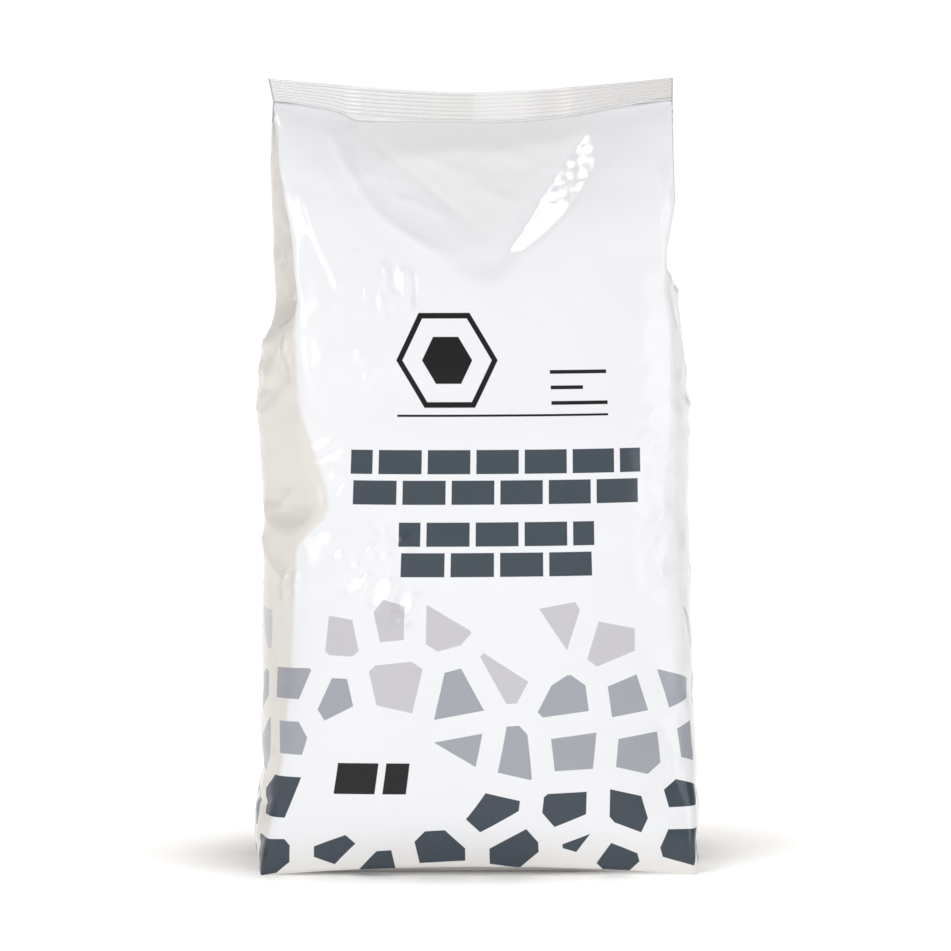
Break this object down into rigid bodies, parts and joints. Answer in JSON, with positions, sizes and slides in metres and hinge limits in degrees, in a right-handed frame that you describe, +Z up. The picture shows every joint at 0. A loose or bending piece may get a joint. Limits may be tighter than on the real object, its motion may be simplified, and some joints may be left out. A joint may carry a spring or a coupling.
{
  "type": "cement bag",
  "caption": "Small filled side-gusset bag of white film, standing on its flat base, closed by a crimped top seal.",
  "frame": {"origin": "on the floor, at the middle of the base", "axes": "+Z up to the seal, +X to the right of the printed front along the seal, +Y to the back of the bag"},
  "size_m": [0.1203, 0.0554, 0.2123],
  "materials": {
    "film": "glossy"
  },
  "bodies": {
    "root": {"cement_bag": "film"}
  },
  "joints": []
}
